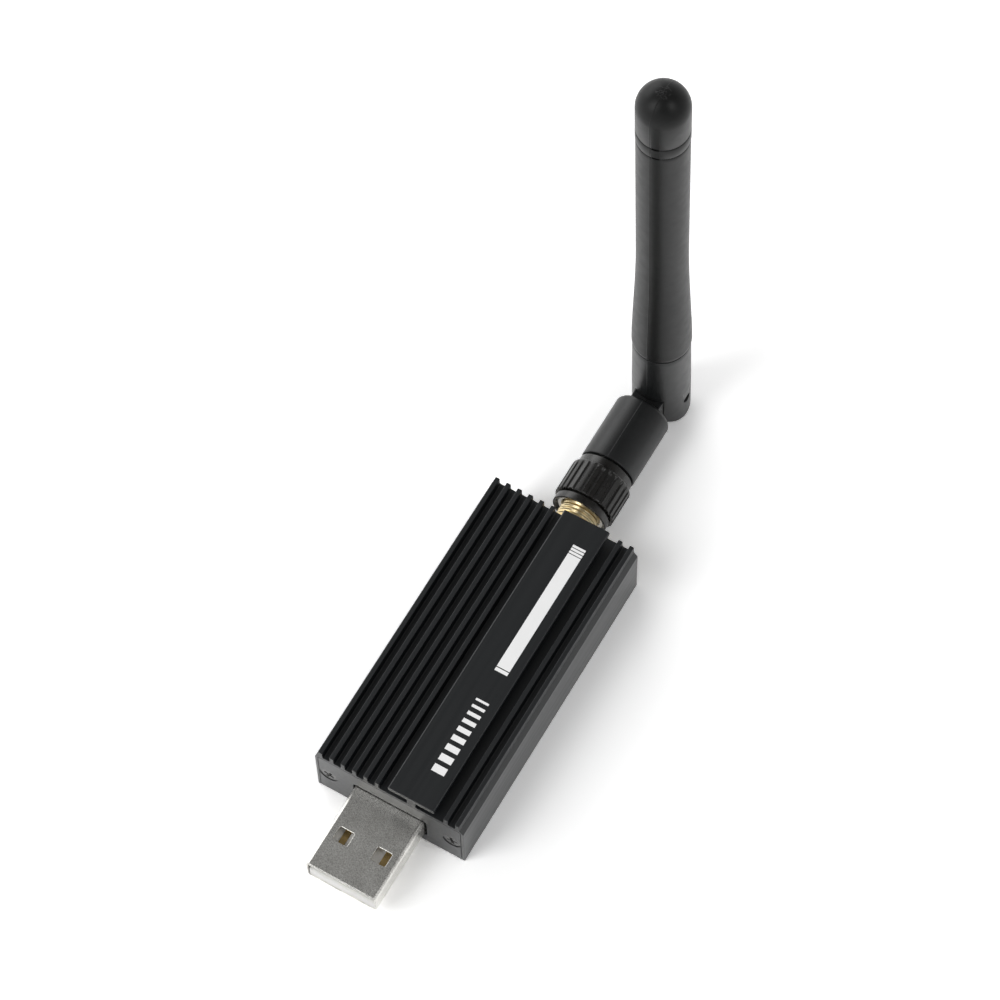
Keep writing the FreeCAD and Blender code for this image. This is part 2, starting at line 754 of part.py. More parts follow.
write("heat_sink_cover", heat_sink_cover())
write("base_tray", base_tray())
write("front_screws", [case_screw(side * screw_x, front_y, -1) for side in (-1, 1)])
write("rear_screws", [case_screw(side * screw_x, rear_y, 1) for side in (-1, 1)])
write("plug_shell", plug_shell())
write("plug_insulator", plug_insulator(contacts))
for contact_name, contact in zip(("outer_contact_left", "outer_contact_right",
                                  "inner_contact_left", "inner_contact_right"), contacts):
    write(contact_name, contact)
write("circuit_board", circuit_board())
write("radio_chip", square_chip(radio_chip_place, radio_chip_size))
write("bridge_chip", square_chip(bridge_chip_place, bridge_chip_size))
regulator_x = board_half - regulator_inset - regulator_size[0] / 2
write("voltage_regulator", leaded_part((regulator_x, regulator_along), regulator_size, regulator_leads))
write("radio_crystal", crystal(-1, -1, radio_crystal_size))
write("clock_crystal", crystal(1, 1, clock_crystal_size))
write("capacitors", capacitors())
write("jack_body", jack_body())
write("jack_insulator", along_jack(jack_bore, board_rear_y, jack_tip_y).cut(
    along_jack(socket_radius, board_rear_y, jack_tip_y)))
write("jack_contact", jack_contact())
write("coupling_grip", coupling_grip())
write("coupling_insert", coupling_insert())
write("connector_ferrule", connector_ferrule())
write("connector_insulator", connector_insulator())
write("connector_pin", connector_pin())
write("antenna_base", antenna_base())
write("hinge_pins", [tilted(pin) for pin in hinge_pins()])
write("whip_fork", tilted(whip_fork()))
write("whip_sleeve", tilted(whip_sleeve()))
write("radiator_core", tilted(radiator_core()))
write("radiator_skirt", tilted(radiator_skirt()))
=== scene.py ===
# %% [markdown]
# # Dressing a small radio stick
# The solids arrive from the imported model: a finned black case, a plug, and an antenna on a screw coupling.
# They are exact, but plain. This lesson gives them the edges, grooves, thread, print and finishes that the
# real stick has, under soft studio light.
#
# Everything is in metres and in one frame: +Z is up, +Y runs from the plug to the antenna, and the origin is
# in the middle of the case's flat bottom.

# %% Load the frame
import json
import math

import bmesh
import bpy
from mathutils import Matrix, Vector

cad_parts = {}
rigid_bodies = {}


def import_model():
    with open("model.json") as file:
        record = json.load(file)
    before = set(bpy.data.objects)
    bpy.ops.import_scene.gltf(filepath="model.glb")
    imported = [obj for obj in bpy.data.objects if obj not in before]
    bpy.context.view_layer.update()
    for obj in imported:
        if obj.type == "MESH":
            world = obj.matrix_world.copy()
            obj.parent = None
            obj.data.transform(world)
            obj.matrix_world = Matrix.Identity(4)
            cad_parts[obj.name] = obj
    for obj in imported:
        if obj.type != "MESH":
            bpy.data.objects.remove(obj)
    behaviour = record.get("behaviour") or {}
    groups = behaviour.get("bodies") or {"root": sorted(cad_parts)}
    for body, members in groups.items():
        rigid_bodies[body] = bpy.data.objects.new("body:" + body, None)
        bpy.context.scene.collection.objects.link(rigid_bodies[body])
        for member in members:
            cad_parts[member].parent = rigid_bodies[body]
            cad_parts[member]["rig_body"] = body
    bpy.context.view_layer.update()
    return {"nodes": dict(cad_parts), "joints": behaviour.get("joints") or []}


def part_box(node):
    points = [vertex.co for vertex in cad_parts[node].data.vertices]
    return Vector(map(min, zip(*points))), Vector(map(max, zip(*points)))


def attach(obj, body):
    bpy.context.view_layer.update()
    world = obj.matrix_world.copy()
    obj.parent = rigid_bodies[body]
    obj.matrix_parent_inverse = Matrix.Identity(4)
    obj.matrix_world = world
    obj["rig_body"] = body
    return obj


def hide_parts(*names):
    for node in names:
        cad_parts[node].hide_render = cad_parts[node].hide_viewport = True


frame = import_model()
MM = 0.001

# %% [markdown]
# ## The places that the solids give
# The antenna's parts turn about the jack's axis and about the hinge. Both are read from the joints, so the
# new pieces sit where the solids sit.

# %% Read the axes and the tilt
joints = {joint["name"]: joint for joint in frame["joints"]}
HINGE = Vector(joints["antenna_tilt"]["pos_m"])
TILT = -math.radians(joints["antenna_tilt"]["range_deg"][0])
ON_JACK = Matrix.Translation((HINGE.x, 0, HINGE.z))
ON_WHIP = Matrix.Translation(HINGE) @ Matrix.Rotation(TILT, 4, "X")
CASE_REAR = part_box("heat_sink_cover")[1].y / MM
RAIL_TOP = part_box("heat_sink_cover")[1].z / MM
print("hinge at", [round(v / MM, 2) for v in HINGE], "mm, tilted", round(math.degrees(TILT)), "degrees")

# %% [markdown]
# ## The camera
# The camera was found by fitting the straight edges of the case and the plug. A long lens from above the
# front right corner keeps the case's sides almost parallel. Its three axes are right, down and forward.

# %% Place the camera
camera = bpy.data.objects.new("camera", bpy.data.cameras.new("camera"))
bpy.context.scene.collection.objects.link(camera)
bpy.context.scene.camera = camera
camera.data.sensor_width = 36
camera.data.lens = 146.87
camera.data.clip_start = 0.01
right, down, forward = (
    Matrix.Rotation(0.47430373, 3, "Z") @ Matrix.Rotation(0.23709952, 3, "Y") @ Matrix.Rotation(2.74301153, 3, "X")
)
camera_axes = Matrix((right, -down, -forward)).transposed()
camera.matrix_world = Matrix.Translation(Vector((135.941, -210.626, 567.322)) * MM) @ camera_axes.to_4x4()
print("camera looks along", [round(v, 3) for v in forward])

# %% [markdown]
# ## Small helpers for finishes
# A finish is a Principled shader whose colour, roughness and bump come from noise on Object coordinates. The
# helpers below keep each recipe short: one makes the material, one adds a stretched noise, one spreads that
# noise over two values, and one turns it into bump.

# %% Make a material
def new_finish(name):
    """A material with its shader, ready for nodes."""
    finish = bpy.data.materials.new(name)
    finish.use_nodes = True
    return finish, finish.node_tree, finish.node_tree.nodes["Principled BSDF"]


def stretched_place(tree, stretch=(1, 1, 1)):
    """Object coordinates, stretched: a small number along an axis makes streaks along it."""
    place = tree.nodes.new("ShaderNodeTexCoord")
    mapping = tree.nodes.new("ShaderNodeMapping")
    mapping.inputs["Scale"].default_value = stretch
    tree.links.new(place.outputs["Object"], mapping.inputs["Vector"])
    return mapping.outputs["Vector"]


def noise(tree, size, stretch=(1, 1, 1), detail=3.0):
    """Cloudy noise; size is the length in metres of one cloud."""
    cloud = tree.nodes.new("ShaderNodeTexNoise")
    cloud.inputs["Scale"].default_value = 1 / size
    cloud.inputs["Detail"].default_value = detail
    tree.links.new(stretched_place(tree, stretch), cloud.inputs["Vector"])
    return cloud.outputs["Fac"]


def spread(tree, value, low, high, start=0.3, end=0.7):
    """The noise from start to end becomes a number from low to high."""
    ranger = tree.nodes.new("ShaderNodeMapRange")
    ranger.inputs["From Min"].default_value = start
    ranger.inputs["From Max"].default_value = end
    ranger.inputs["To Min"].default_value = low
    ranger.inputs["To Max"].default_value = high
    tree.links.new(value, ranger.inputs["Value"])
    return ranger.outputs["Result"]


def between(tree, value, first, second):
    """A colour between two colours, by a number from 0 to 1."""
    mixer = tree.nodes.new("ShaderNodeMix")
    mixer.data_type = "RGBA"
    mixer.inputs["A"].default_value = (*first, 1)
    mixer.inputs["B"].default_value = (*second, 1)
    tree.links.new(value, mixer.inputs["Factor"])
    return mixer.outputs["Result"]


def bump(tree, shader, height, depth, strength=1.0):
    """Fine relief: depth in metres for a height of 1."""
    relief = tree.nodes.new("ShaderNodeBump")
    relief.inputs["Strength"].default_value = strength
    relief.inputs["Distance"].default_value = depth
    tree.links.new(height, relief.inputs["Height"])
    tree.links.new(relief.outputs["Normal"], shader.inputs["Normal"])


def node_math(tree, operation, *values):
    """One step of arithmetic on sockets and numbers, in a shader or a geometry tree."""
    step = tree.nodes.new("ShaderNodeMath")
    step.operation = operation
    for socket, value in zip(step.inputs, values):
        if isinstance(value, (int, float)):
            socket.default_value = value
        else:
            tree.links.new(value, socket)
    return step.outputs[0]


# %% [markdown]
# ## Black anodised aluminium
# The case is extruded, bead blasted and dyed black. So it has a fine even grain, faint draw lines along the
# extrusion, and a sheen that rises at a shallow angle. The finned top is duller than the walls and the ends.
# The dye hides the metal, so the shader isn't metallic.

# %% Anodised finish
def anodised_finish():
    finish, tree, shader = new_finish("black_anodised")
    draw_lines = noise(tree, 0.0006, stretch=(1, 0.02, 1), detail=1)
    grain = noise(tree, 0.00012, detail=1)
    worn = spread(tree, noise(tree, 0.012), 0, 1)
    colour = between(tree, worn, (0.0022, 0.0036, 0.0048), (0.0034, 0.0048, 0.0060))
    tree.links.new(colour, shader.inputs["Base Color"])
    parts = tree.nodes.new("ShaderNodeSeparateXYZ")
    tree.links.new(stretched_place(tree), parts.inputs[0])
    matte_top = spread(tree, parts.outputs["Z"], 0.0, 0.12, 10.6 * MM, 10.9 * MM)
    rough = node_math(tree, "ADD", spread(tree, draw_lines, 0.28, 0.34), matte_top)
    tree.links.new(rough, shader.inputs["Roughness"])
    shader.inputs["IOR"].default_value = 1.55
    bump(tree, shader, grain, 0.000003, 0.5)
    return finish


black_anodised = anodised_finish()

# %% [markdown]
# ## Nickel-plated steel
# The plug's shell was blasted before plating, so its flat faces have a fine sandy grain under the shine. Fine
# noise gives the grain its light and dark points, and slow noise makes some places a little paler.

# %% Plated steel finish
def plated_steel_finish():
    finish, tree, shader = new_finish("plated_steel")
    shader.inputs["Metallic"].default_value = 1.0
    fine = noise(tree, 0.00012, detail=2)
    grain = node_math(tree, "ADD", node_math(tree, "MULTIPLY", fine, 0.75), node_math(
        tree, "MULTIPLY", noise(tree, 0.0025), 0.25))
    tree.links.new(between(tree, spread(tree, grain, 0, 1, 0.32, 0.68), (0.54, 0.53, 0.50), (0.95, 0.94, 0.90)),
                   shader.inputs["Base Color"])
    tree.links.new(spread(tree, fine, 0.24, 0.34), shader.inputs["Roughness"])
    bump(tree, shader, noise(tree, 0.00020, detail=1), 0.000008, 0.6)
    return finish


plated_steel = plated_steel_finish()

# %% [markdown]
# ## Gold, nickelled brass and bare brass
# Thin gold over nickel is smooth and a little uneven in tone. The coupling's lining is the same metal with a
# pale plating, and the radiator inside the whip is bare drawn brass with lines along it.

# %% Bright metal finishes
def bright_metal_finish(name, first, second, rough, lines=(1, 1, 1), depth=0.000004):
    finish, tree, shader = new_finish(name)
    shader.inputs["Metallic"].default_value = 1.0
    tone = spread(tree, noise(tree, 0.0012), 0, 1)
    tree.links.new(between(tree, tone, first, second), shader.inputs["Base Color"])
    marks = noise(tree, 0.00015, stretch=lines, detail=2)
    tree.links.new(spread(tree, marks, rough[0], rough[1]), shader.inputs["Roughness"])
    bump(tree, shader, marks, depth, 0.4)
    return finish


gold = bright_metal_finish("gold_plate", (0.95, 0.76, 0.42), (0.98, 0.84, 0.54), (0.27, 0.31), depth=0.0000002)
# The plug's contacts are brushed along their length. Their gold is painted much darker than the jack's gold, as
# painted shade for the shade of the shell over them.
shaded_contact_gold = bright_metal_finish("shaded_contact_gold", (0.42, 0.30, 0.13), (0.56, 0.41, 0.19), (0.30, 0.42), (1, 0.05, 1))
nickelled_brass = bright_metal_finish("nickelled_brass", (0.72, 0.71, 0.68), (0.80, 0.79, 0.75), (0.16, 0.26))
bare_brass = bright_metal_finish("bare_brass", (0.62, 0.42, 0.17), (0.74, 0.53, 0.24), (0.28, 0.42), (1, 1, 0.03))
crystal_metal = bright_metal_finish("crystal_lid", (0.62, 0.61, 0.58), (0.70, 0.69, 0.66), (0.25, 0.38))

# %% [markdown]
# ## Moulded plastics
# The antenna is satin black plastic from a spark-eroded mould: a fine leathery grain and a soft broad sheen.
# The coupling grip is a warmer black and a little shinier where fingers rub it. The plug's block and the
# connector's insulators are smooth pale plastics.

# %% Plastic finishes
def mould_line(tree, width=0.09):
    """A ridge where the two halves of the mould met: 1 on the antenna's middle plane, 0 beside it."""
    parts = tree.nodes.new("ShaderNodeSeparateXYZ")
    tree.links.new(stretched_place(tree), parts.inputs[0])
    off_plane = node_math(tree, "ABSOLUTE", node_math(tree, "SUBTRACT", parts.outputs["X"], HINGE.x))
    return spread(tree, off_plane, 1, 0, 0, width * MM)


def gate_mark(tree, reach=1.15):
    """A torn, crumbly spot at the whip's tip, where the mould was filled: 1 at rough places, 0 elsewhere."""
    tip = HINGE + Matrix.Rotation(TILT, 3, "X") @ Vector((0, 89.9 * MM, 0))
    from_tip = tree.nodes.new("ShaderNodeVectorMath")
    from_tip.operation = "DISTANCE"
    from_tip.inputs[1].default_value = tip
    tree.links.new(stretched_place(tree), from_tip.inputs[0])
    near = spread(tree, from_tip.outputs["Value"], 1, 0, 0.75 * reach * MM, reach * MM)
    return node_math(tree, "MULTIPLY", near, spread(tree, noise(tree, 0.0005, detail=2), 0, 1, 0.47, 0.57))


def plastic_finish(name, first, second, rough, grain_size, grain_depth, ridge=0.0, shine=0.5):
    finish, tree, shader = new_finish(name)
    shader.inputs["Specular IOR Level"].default_value = shine
    cloud = spread(tree, noise(tree, 0.006), 0, 1)
    tree.links.new(between(tree, cloud, first, second), shader.inputs["Base Color"])
    tree.links.new(spread(tree, noise(tree, 0.0015), rough[0], rough[1]), shader.inputs["Roughness"])
    height = noise(tree, grain_size, detail=2)
    if ridge:
        height = node_math(tree, "ADD", height, node_math(tree, "MULTIPLY", mould_line(tree), ridge / grain_depth))
        height = node_math(tree, "ADD", height, node_math(tree, "MULTIPLY", gate_mark(tree), 5 * ridge / grain_depth))
    bump(tree, shader, height, grain_depth, 0.6)
    return finish


antenna_plastic = plastic_finish(
    "antenna_plastic", (0.0060, 0.0064, 0.0064), (0.0085, 0.0088, 0.0086), (0.36, 0.42), 0.00025, 0.000002, 0.00004,
    shine=0.20
)
hinge_plastic = plastic_finish(
    "hinge_plastic", (0.0082, 0.0090, 0.0093), (0.0112, 0.0120, 0.0123), (0.34, 0.40), 0.00025, 0.000002, 0.00004,
    shine=0.38
)
grip_plastic = plastic_finish(
    "grip_plastic", (0.0070, 0.0066, 0.0058), (0.0105, 0.0098, 0.0085), (0.22, 0.32), 0.00018, 0.000004
)
pale_plastic = plastic_finish(
    "pale_plastic", (0.80, 0.79, 0.77), (0.86, 0.855, 0.835), (0.35, 0.45), 0.0002, 0.000003
)
insulator_plastic = plastic_finish(
    "insulator_plastic", (0.80, 0.79, 0.77), (0.86, 0.85, 0.83), (0.40, 0.50), 0.0003, 0.000004
)
chip_plastic = plastic_finish(
    "chip_plastic", (0.016, 0.016, 0.017), (0.022, 0.022, 0.023), (0.50, 0.60), 0.00008, 0.000006
)
capacitor_ceramic = plastic_finish(
    "capacitor_ceramic", (0.28, 0.20, 0.13), (0.38, 0.28, 0.19), (0.35, 0.50), 0.0001, 0.000005
)
black_screw = bright_metal_finish("black_screw", (0.07, 0.07, 0.07), (0.10, 0.10, 0.097), (0.22, 0.32))
white_ink = plastic_finish(
    "white_ink", (0.95, 0.95, 0.95), (0.98, 0.98, 0.98), (0.50, 0.60), 0.00012, 0.000002
)
print("finishes:", len(bpy.data.materials))

# %% [markdown]
# ## Copies with softened edges
# A solid's edge is perfectly sharp, and a real one never is: blasting and dyeing round it a little, and that
# thin round edge is what catches the light. The case, the plug and other flat-faced solids are copied, their
# loose triangles are joined, and a Bevel modifier rounds the corners. A single face can't have a hole, so
# faces are parted at planes through the holes' middles. Weighted normals then let the large faces rule the
# shading, so a flat face looks flat up to its rounded edge.

# %% Soften a solid's edges
def keep_piece(name, mesh, body, *nodes):
    """The finished mesh becomes a piece that rides on a body and stands for the nodes."""
    piece = bpy.data.objects.new(name, mesh)
    bpy.context.scene.collection.objects.link(piece)
    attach(piece, body)
    if nodes:
        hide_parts(*nodes)
    return piece


def body_of_node(node):
    return frame["nodes"][node]["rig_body"]


def merge_flats(shape, cuts):
    """Joins the flat triangles, and parts the faces at the planes x = cut, so none goes round a hole."""
    bmesh.ops.dissolve_limit(shape, angle_limit=math.radians(0.5), verts=shape.verts, edges=shape.edges)
    for cut in cuts:
        parts = shape.verts[:] + shape.edges[:] + shape.faces[:]
        bmesh.ops.bisect_plane(shape, geom=parts, dist=1e-8, plane_co=(cut * MM, 0, 0), plane_no=(1, 0, 0))
    kept = [[vert.co.x for vert in edge.verts] for edge in shape.edges]
    on_cut = [any(abs(a - cut * MM) + abs(b - cut * MM) < 1e-7 for cut in cuts) for a, b in kept]
    spare = [
        edge for edge, stays in zip(shape.edges, on_cut)
        if not stays and len(edge.link_faces) == 2 and edge.calc_face_angle() < math.radians(0.5)
    ]
    bmesh.ops.dissolve_edges(shape, edges=spare, use_verts=False)


def joined_copy(node, name, cuts):
    """A copy of a solid's mesh with its corners joined, and its flat triangles too where cuts are given."""
    mesh = frame["nodes"][node].data.copy()
    mesh.name = name
    shape = bmesh.new()
    shape.from_mesh(mesh)
    bmesh.ops.remove_doubles(shape, verts=shape.verts, dist=0.0005 * MM)
    if cuts is not None:
        merge_flats(shape, cuts)
    shape.to_mesh(mesh)
    shape.free()
    return mesh


def soften(node, name, finish, width, cuts=None, angle=35):
    """A piece that stands for a solid, with its sharp edges rounded; width is in millimetres."""
    mesh = joined_copy(node, name, cuts)
    mesh.materials.clear()
    mesh.materials.append(finish)
    mesh.shade_smooth()
    piece = keep_piece(name, mesh, body_of_node(node), node)
    bevel = piece.modifiers.new("soft_edges", "BEVEL")
    bevel.width = width * MM
    bevel.segments = 2
    bevel.limit_method = "ANGLE"
    bevel.angle_limit = math.radians(angle)
    bevel.use_clamp_overlap = False
    flat = piece.modifiers.new("flat_faces", "WEIGHTED_NORMAL")
    flat.mode = "FACE_AREA"
    flat.weight = 80
    print(name, "has", len(mesh.polygons), "faces before its edges are rounded")
    return piece


screw_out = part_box("front_screws")[1].x / MM - 1.5
post_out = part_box("circuit_board")[1].x / MM - 2.3
window_out = 3.25
soften("heat_sink_cover", "finned_cover", black_anodised, 0.09, cuts=())
soften("base_tray", "tray", black_anodised, 0.06, cuts=(-screw_out, -post_out, 0, post_out, screw_out))
soften("plug_shell", "folded_shell", plated_steel, 0.10, cuts=(-window_out, window_out))
soften("plug_insulator", "plug_block", pale_plastic, 0.05)
soften("coupling_insert", "coupling_lining", nickelled_brass, 0.04)
soften("antenna_base", "barrel_and_lug", hinge_plastic, 0.12)
soften("whip_fork", "fork", hinge_plastic, 0.05)
soften("hinge_pins", "pins", hinge_plastic, 0.08)

# %% [markdown]
# ## Round pieces from a profile
# A lathe makes the sleeve, the grip and the jack: a profile of points, each a place along the axis and a
# radius, goes round the axis in even columns. Each corner of the profile may have its own small round.

# %% Turn a profile
def rounded(corners, steps=4):
    """Profile points from corners (along, radius, round), in millimetres."""
    points = []
    for index, (along, radius, soft) in enumerate(corners):
        corner = Vector((along, radius))
        if not soft:
            points.append(corner)
            continue
        before = Vector(corners[index - 1][:2])
        after = Vector(corners[(index + 1) % len(corners)][:2])
        start = corner + (before - corner).normalized() * soft
        end = corner + (after - corner).normalized() * soft
        for step in range(steps + 1):
            t = step / steps
            points.append(start * (1 - t) ** 2 + corner * 2 * t * (1 - t) + end * t ** 2)
    return points


def lathe(name, points, columns, place):
    """A closed skin turned about the local Y axis: from pole to pole, or round in a ring."""
    shape = bmesh.new()
    rings = []
    for along, radius in points:
        if radius < 1e-6:
            rings.append([shape.verts.new(place @ Vector((0, along * MM, 0)))])
            continue
        ring = []
        for column in range(columns):
            turn = 2 * math.pi * column / columns
            spot = Vector((radius * math.cos(turn), along, radius * math.sin(turn))) * MM
            ring.append(shape.verts.new(place @ spot))
        rings.append(ring)
    pairs = list(zip(rings, rings[1:]))
    if len(rings[0]) > 1:
        pairs.append((rings[-1], rings[0]))
    for first, second in pairs:
        for column in range(columns):
            after = (column + 1) % columns
            corners = [first[column % len(first)], first[after % len(first)],
                       second[after % len(second)], second[column % len(second)]]
            shape.faces.new(list(dict.fromkeys(corners)))
    bmesh.ops.recalc_face_normals(shape, faces=shape.faces)
    mesh = bpy.data.meshes.new(name)
    shape.to_mesh(mesh)
    shape.free()
    return mesh


def smooth(mesh, sharp_angle=40):
    mesh.shade_smooth()
    mesh.set_sharp_from_angle(angle=math.radians(sharp_angle))
    return mesh


# %% [markdown]
# ## Geometry Nodes for what repeats
# Threads, flutes, screws and stripes follow a rule, so each is a small tree of nodes with named inputs. The
# helper below starts a tree, and another runs it once on a mesh and keeps the plain mesh that comes out.

# %% Start and run a tree
def new_tree(name, inputs):
    """A tree with a geometry input and named inputs, given as (name, kind, value)."""
    tree = bpy.data.node_groups.new(name, "GeometryNodeTree")
    tree.interface.new_socket("Geometry", in_out="INPUT", socket_type="NodeSocketGeometry")
    for label, kind, value in inputs:
        tree.interface.new_socket(label, in_out="INPUT", socket_type="NodeSocket" + kind).default_value = value
    tree.interface.new_socket("Geometry", in_out="OUTPUT", socket_type="NodeSocketGeometry")
    start = tree.nodes.new("NodeGroupInput")
    end = tree.nodes.new("NodeGroupOutput")
    return tree, start.outputs, end.inputs


def add_node(tree, kind, inputs=(), **settings):
    """A node with some sockets joined or set, and some settings."""
    made = tree.nodes.new(kind)
    for label, value in settings.items():
        setattr(made, label, value)
    for label, value in dict(inputs).items():
        if isinstance(value, bpy.types.NodeSocket):
            tree.links.new(value, made.inputs[label])
        else:
            made.inputs[label].default_value = value
    return made


def close_tree(tree, geometry, finish, end):
    """The last two nodes of every tree: real geometry instead of instances, and its material."""
    real = add_node(tree, "GeometryNodeRealizeInstances", {"Geometry": geometry})
    dressed = add_node(tree, "GeometryNodeSetMaterial", {"Geometry": real.outputs[0], "Material": finish})
    tree.links.new(dressed.outputs[0], end["Geometry"])


def run_tree(mesh, tree, **values):
    """The plain mesh that a tree makes of a mesh, with its inputs set by their identifiers."""
    holder = bpy.data.objects.new("holder", mesh)
    bpy.context.scene.collection.objects.link(holder)
    modifier = holder.modifiers.new("tree", "NODES")
    modifier.node_group = tree
    for item in tree.interface.items_tree:
        if item.in_out == "INPUT" and item.name in values:
            modifier[item.identifier] = values[item.name]
    result = bpy.data.meshes.new_from_object(holder.evaluated_get(bpy.context.evaluated_depsgraph_get()))
    result.name = tree.name
    finish = result.materials[-1]
    result.materials.clear()
    result.materials.append(finish)
    result.polygons.foreach_set("material_index", [0] * len(result.polygons))
    bpy.data.objects.remove(holder)
    bpy.data.meshes.remove(mesh)
    print(tree.name, "made", len(result.polygons), "faces in", finish.name)
    return result


def about_axis(tree, start):
    """Place along the jack's axis, turn about it from +Z towards +X in whole turns, and distance from it."""
    place = add_node(tree, "ShaderNodeSeparateXYZ", {0: add_node(tree, "GeometryNodeInputPosition").outputs[0]})
    across = node_math(tree, "SUBTRACT", place.outputs["X"], start["Axis X"])
    up = node_math(tree, "SUBTRACT", place.outputs["Z"], start["Axis Z"])
    turn = node_math(tree, "DIVIDE", node_math(tree, "ARCTAN2", across, up), 2 * math.pi)
    squares = node_math(tree, "ADD", node_math(tree, "MULTIPLY", across, across), node_math(tree, "MULTIPLY", up, up))
    return place.outputs["Y"], turn, node_math(tree, "SQRT", squares), across, up


def pull_in(tree, geometry, across, up, radius, depth, selection):
    """Moves the selected points towards the axis by a depth."""
    share = node_math(tree, "DIVIDE", node_math(tree, "MULTIPLY", depth, -1), radius)
    offset = add_node(tree, "ShaderNodeCombineXYZ", {
        "X": node_math(tree, "MULTIPLY", across, share), "Z": node_math(tree, "MULTIPLY", up, share)})
    moved = add_node(tree, "GeometryNodeSetPosition", {
        "Geometry": geometry, "Selection": selection, "Offset": offset.outputs[0]})
    return moved.outputs[0]


def inside_range(tree, value, low, high):
    """1 where a value lies between two limits, and 0 elsewhere."""
    return node_math(tree, "MULTIPLY", node_math(tree, "GREATER_THAN", value, low),
                     node_math(tree, "LESS_THAN", value, high))


AXIS_INPUTS = [("Axis X", "Float", HINGE.x), ("Axis Z", "Float", HINGE.z)]

# %% [markdown]
# ## The jack's thread
# The jack has a quarter-inch barrel with 36 turns to the inch. The blank barrel's rows wind round it in one
# long spiral that climbs one pitch a turn, 16 rows to a pitch, so a row never crosses a flank. The tree pulls
# each point in by its place within the pitch: round-shouldered crests and roots, and a right-handed helix.

# %% Thread tree
PITCH = 0.7056


def thread_tree():
    tree, start, end = new_tree("gold_jack", AXIS_INPUTS + [
        ("Pitch", "Float", PITCH * MM), ("Depth", "Float", 0.18 * MM), ("Flat", "Float", 0.02),
        ("Run-out", "Float", 0.4 * MM), ("Thread start", "Float", 0.0), ("Thread end", "Float", 1.0), ("Outer radius", "Float", 1.0)])
    along, turn, radius, across, up = about_axis(tree, start)
    phase = node_math(tree, "FRACT", node_math(tree, "SUBTRACT", node_math(tree, "DIVIDE", along, start["Pitch"]), turn))
    from_crest = node_math(tree, "MULTIPLY", node_math(tree, "MINIMUM", phase, node_math(tree, "SUBTRACT", 1, phase)), 2)
    slope = node_math(tree, "DIVIDE", node_math(tree, "SUBTRACT", from_crest, start["Flat"]),
                      node_math(tree, "SUBTRACT", 1, node_math(tree, "MULTIPLY", start["Flat"], 2)))
    flank = add_node(tree, "ShaderNodeMapRange", {"Value": slope, "To Max": start["Depth"]},
                     interpolation_type="SMOOTHSTEP")
    from_end = node_math(tree, "MINIMUM", node_math(tree, "SUBTRACT", along, start["Thread start"]),
                         node_math(tree, "SUBTRACT", start["Thread end"], along))
    run_out = node_math(tree, "MINIMUM", node_math(tree, "DIVIDE", from_end, start["Run-out"]), 1)
    depth = node_math(tree, "MULTIPLY", flank.outputs["Result"], run_out)
    near_skin = node_math(tree, "GREATER_THAN", radius, node_math(tree, "SUBTRACT", start["Outer radius"], 0.02 * MM))
    selection = node_math(tree, "MULTIPLY", near_skin,
                          inside_range(tree, along, start["Thread start"], start["Thread end"]))
    close_tree(tree, pull_in(tree, start["Geometry"], across, up, radius, depth, selection), gold, end)
    return tree


# %% Turn and thread the jack
jack_low, jack_high = (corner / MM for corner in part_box("jack_body"))
JACK_RADIUS, JACK_BORE = 3.175, 2.3
FLANGE_FRONT = CASE_REAR - 3.0
thread_from, thread_to = CASE_REAR + 0.1, jack_high.y - 0.35


def spiral_barrel(columns=128, rows_in_pitch=16):
    """A bored barrel whose outer rows wind as one spiral, with plain rings at both ends."""
    shape = bmesh.new()
    base = math.ceil(thread_from / PITCH) * PITCH
    last = (int((thread_to - base) / PITCH) - 1) * rows_in_pitch

    def point(along, column, radius):
        turn = 2 * math.pi * column / columns
        return shape.verts.new(ON_JACK @ (Vector((radius * math.sin(turn), along, radius * math.cos(turn))) * MM))

    def ring(along, radius):
        return [point(along, column, radius) for column in range(columns)]

    def climb(row, column):
        return base + PITCH * (row / rows_in_pitch + column / columns)

    lanes = [[point(climb(row, column), column, JACK_RADIUS) for row in range(last + 1)] for column in range(columns)]
    lanes[0] += [point(climb(row, 0), 0, JACK_RADIUS) for row in range(last + 1, last + rows_in_pitch + 1)]
    lanes.append(lanes[0][rows_in_pitch:])
    for near, far in zip(lanes, lanes[1:]):
        for row in range(last):
            shape.faces.new((near[row], far[row], far[row + 1], near[row + 1]))
    foot = [ring(FLANGE_FRONT, JACK_BORE), ring(FLANGE_FRONT, JACK_RADIUS), ring(base - 0.02, JACK_RADIUS)]
    head = [ring(climb(last, columns) + 0.02, JACK_RADIUS), ring(jack_high.y, JACK_RADIUS - 0.3),
            ring(jack_high.y, JACK_BORE)]
    for first, second in ((foot[0], foot[1]), (foot[1], foot[2]), (head[0], head[1]), (head[1], head[2]), (head[2], foot[0])):
        for column in range(columns):
            shape.faces.new((first[column - 1], first[column], second[column], second[column - 1]))
    for row, edge in ((0, foot[2]), (last, head[0])):
        for column in range(columns - 1):
            shape.faces.new((edge[column], edge[column + 1], lanes[column + 1][row], lanes[column][row]))
        shape.faces.new([edge[-1], edge[0]] + lanes[0][row:row + rows_in_pitch + 1] + [lanes[-2][row]])
    bmesh.ops.recalc_face_normals(shape, faces=shape.faces)
    mesh = bpy.data.meshes.new("barrel")
    shape.to_mesh(mesh)
    shape.free()
    return mesh, base, climb(last, columns)


barrel_mesh, first_crest, last_crest = spiral_barrel()
jack_mesh = run_tree(
    barrel_mesh, thread_tree(),
    **{"Thread start": (first_crest - 0.01) * MM, "Thread end": (last_crest + 0.01) * MM, "Outer radius": JACK_RADIUS * MM}
)


